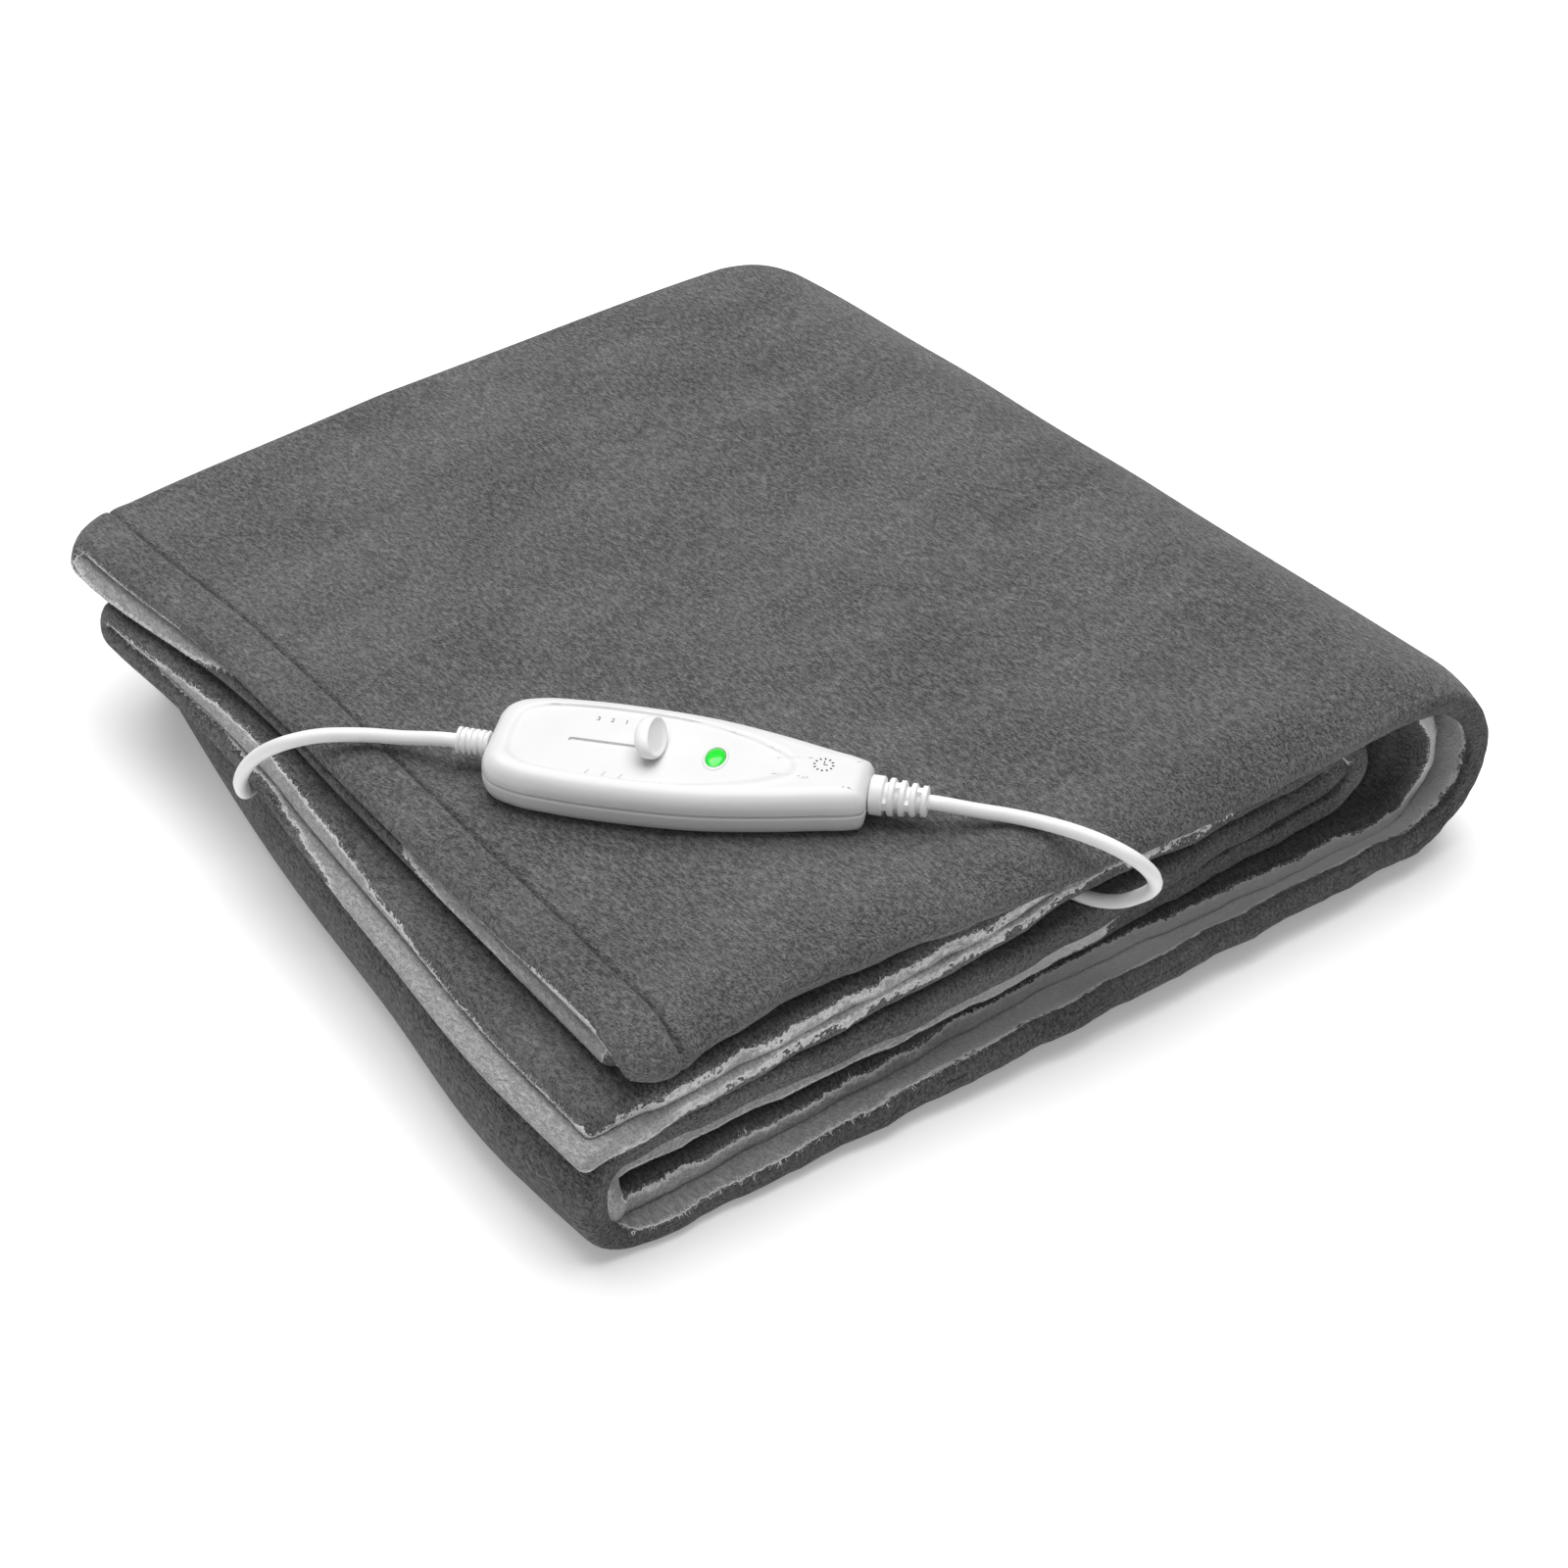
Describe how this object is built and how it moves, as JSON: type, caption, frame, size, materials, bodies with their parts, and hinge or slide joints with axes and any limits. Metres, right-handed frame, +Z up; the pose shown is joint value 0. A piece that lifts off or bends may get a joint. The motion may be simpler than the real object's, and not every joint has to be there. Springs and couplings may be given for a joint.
{
  "type": "electric heated blanket",
  "caption": "Folded plush electric blanket in a flat pile of double layers, with a pale fleece inside and a white slide control on its lead lying on top.",
  "frame": {"origin": "middle of the folded pile on the surface it lies on, measured without the cords", "axes": "+Z up through the layers, +X towards the closed fold on the right, +Y towards the back fold"},
  "size_m": [0.3847, 0.4557, 0.1049],
  "materials": {
    "dark_plush": "short dark grey plush, soft and matt",
    "white_housing": "satin white moulded plastic",
    "green_light": "clear green lens",
    "white_knob": "satin white moulded plastic",
    "white_sleeve": "soft white moulded rubber",
    "white_lead": "smooth white cable sheath",
    "black_tie": "black hook and loop band",
    "white_plug": "white moulded plastic",
    "plated_pin": "bright plated metal"
  },
  "bodies": {
    "blanket": {"blanket_cloth": "dark_plush", "control_lower": "white_housing", "control_upper": "white_housing", "light_lens": "green_light", "left_sleeve": "white_sleeve", "right_sleeve": "white_sleeve", "mains_lead": "white_lead", "blanket_lead": "white_lead", "mains_coil": "white_lead", "lead_tie": "black_tie", "plug_body": "white_plug", "plug_pin_left": "plated_pin", "plug_pin_right": "plated_pin", "plug_sleeve": "white_plug", "plug_tail": "white_lead"},
    "level_slider": {"slider_knob": "white_knob"}
  },
  "joints": [
    {"name": "level_slide", "type": "slide", "parent": "blanket", "child": "level_slider", "axis": [0.6691, -0.7431, 0], "range_m": [-0.022, 0]}
  ]
}
